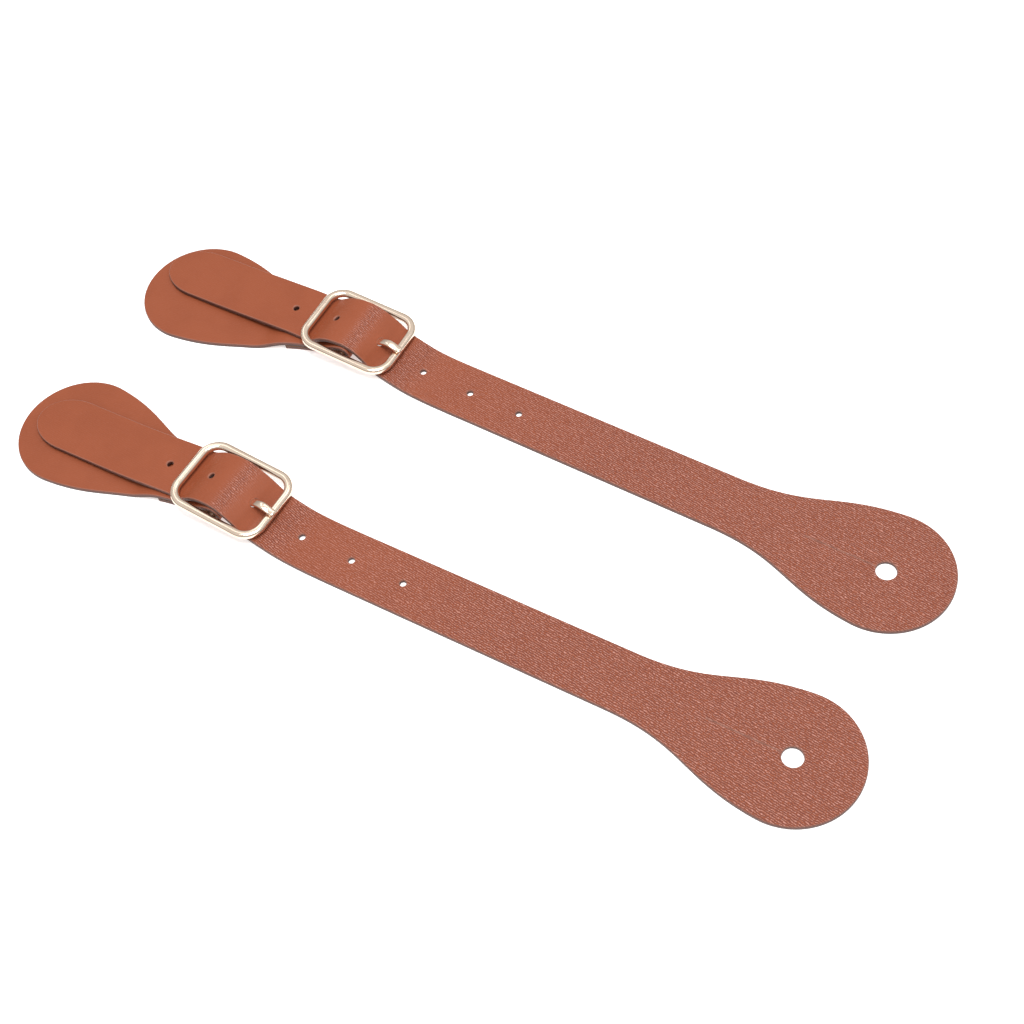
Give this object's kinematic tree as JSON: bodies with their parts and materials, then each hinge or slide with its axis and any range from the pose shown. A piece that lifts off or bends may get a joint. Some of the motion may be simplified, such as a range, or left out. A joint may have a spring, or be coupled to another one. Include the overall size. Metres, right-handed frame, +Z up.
{
  "type": "pair of spur straps",
  "caption": "Flat tan leather spur straps with lobed, slit button-hole ends, punched holes and a pale gold centre-bar buckle whose free end lies back over the lobe.",
  "frame": {"origin": "on the table, under the middle of the pair, at the bounding box bottom centre", "axes": "+X along the straps, from the buckle ends to the billet lobes; +Y across the pair, from the near strap to the far strap; +Z up from the table"},
  "size_m": [0.3583, 0.1328, 0.0118],
  "materials": {
    "strap_leather": "satin tan leather, lightly grained",
    "buckle_metal": "polished pale gold plate",
    "rivet_metal": "polished pale gold plate"
  },
  "bodies": {
    "near_strap": {"near_billet_run": "strap_leather", "near_buckle_fold": "strap_leather", "near_fold_rivet_1": "rivet_metal", "near_fold_rivet_2": "rivet_metal"},
    "near_billet_lobe": {"near_billet_lobe": "strap_leather"},
    "near_billet_tail": {"near_billet_tail": "strap_leather"},
    "near_billet_tip": {"near_billet_tip": "strap_leather"},
    "near_buckle_lobe": {"near_buckle_lobe": "strap_leather"},
    "near_buckle_frame": {"near_buckle_frame": "buckle_metal"},
    "near_buckle_prong": {"near_buckle_prong": "buckle_metal"},
    "far_strap": {"far_billet_run": "strap_leather", "far_buckle_fold": "strap_leather", "far_fold_rivet_1": "rivet_metal", "far_fold_rivet_2": "rivet_metal"},
    "far_billet_lobe": {"far_billet_lobe": "strap_leather"},
    "far_billet_tail": {"far_billet_tail": "strap_leather"},
    "far_billet_tip": {"far_billet_tip": "strap_leather"},
    "far_buckle_lobe": {"far_buckle_lobe": "strap_leather"},
    "far_buckle_frame": {"far_buckle_frame": "buckle_metal"},
    "far_buckle_prong": {"far_buckle_prong": "buckle_metal"}
  },
  "joints": [
    {"name": "near_billet_lobe_flex", "type": "hinge", "parent": "near_strap", "child": "near_billet_lobe", "pos_m": [0.08807, -0.04084, 0.0009], "axis": [0.018, -0.9998, 0], "range_deg": [0, 75]},
    {"name": "near_buckle_lobe_flex", "type": "hinge", "parent": "near_strap", "child": "near_buckle_lobe", "pos_m": [-0.11959, -0.04201, 0.0009], "axis": [0.0047, 1, 0], "range_deg": [0, 60]},
    {"name": "near_billet_tail_flex", "type": "hinge", "parent": "near_strap", "child": "near_billet_tail", "pos_m": [-0.11556, -0.04056, 0.0047], "axis": [-0.0503, 0.9987, 0], "range_deg": [0, 60]},
    {"name": "near_billet_tip_curl", "type": "hinge", "parent": "near_billet_tail", "child": "near_billet_tip", "pos_m": [-0.13956, -0.04126, 0.0037], "axis": [-0.023, 0.9997, 0], "range_deg": [0, 70]},
    {"name": "near_buckle_frame_rock", "type": "hinge", "parent": "near_strap", "child": "near_buckle_frame", "pos_m": [-0.07758, -0.03951, 0.0062], "axis": [0.0047, 1, 0], "range_deg": [-1, 1]},
    {"name": "near_buckle_prong_lift", "type": "hinge", "parent": "near_buckle_frame", "child": "near_buckle_prong", "pos_m": [-0.07758, -0.03951, 0.0062], "axis": [-0.0047, -1, 0], "range_deg": [0, 8]},
    {"name": "far_billet_lobe_flex", "type": "hinge", "parent": "far_strap", "child": "far_billet_lobe", "pos_m": [0.08677, 0.04203, 0.0009], "axis": [-0.018, -0.9998, 0], "range_deg": [0, 75]},
    {"name": "far_buckle_lobe_flex", "type": "hinge", "parent": "far_strap", "child": "far_buckle_lobe", "pos_m": [-0.11929, 0.04121, 0.0009], "axis": [-0.0257, 0.9997, 0], "range_deg": [0, 60]},
    {"name": "far_billet_tail_flex", "type": "hinge", "parent": "far_strap", "child": "far_billet_tail", "pos_m": [-0.11545, 0.04784, 0.0047], "axis": [0.0038, 1, 0], "range_deg": [0, 60]},
    {"name": "far_billet_tip_curl", "type": "hinge", "parent": "far_billet_tail", "child": "far_billet_tip", "pos_m": [-0.13946, 0.04772, 0.0037], "axis": [-0.0079, 1, 0], "range_deg": [0, 70]},
    {"name": "far_buckle_frame_rock", "type": "hinge", "parent": "far_strap", "child": "far_buckle_frame", "pos_m": [-0.07745, 0.04799, 0.0062], "axis": [-0.0257, 0.9997, 0], "range_deg": [-1, 1]},
    {"name": "far_buckle_prong_lift", "type": "hinge", "parent": "far_buckle_frame", "child": "far_buckle_prong", "pos_m": [-0.07745, 0.04799, 0.0062], "axis": [0.0257, -0.9997, 0], "range_deg": [0, 8]},
    {"name": "far_strap_lift", "type": "slide", "parent": "near_strap", "child": "far_strap", "axis": [0, 0, 1], "range_m": [0, 0.1]}
  ],
  "couplings": [
    {"joint": "near_billet_tail_flex", "follows": "near_buckle_lobe_flex", "ratio": 1},
    {"joint": "far_billet_tail_flex", "follows": "far_buckle_lobe_flex", "ratio": 1}
  ]
}
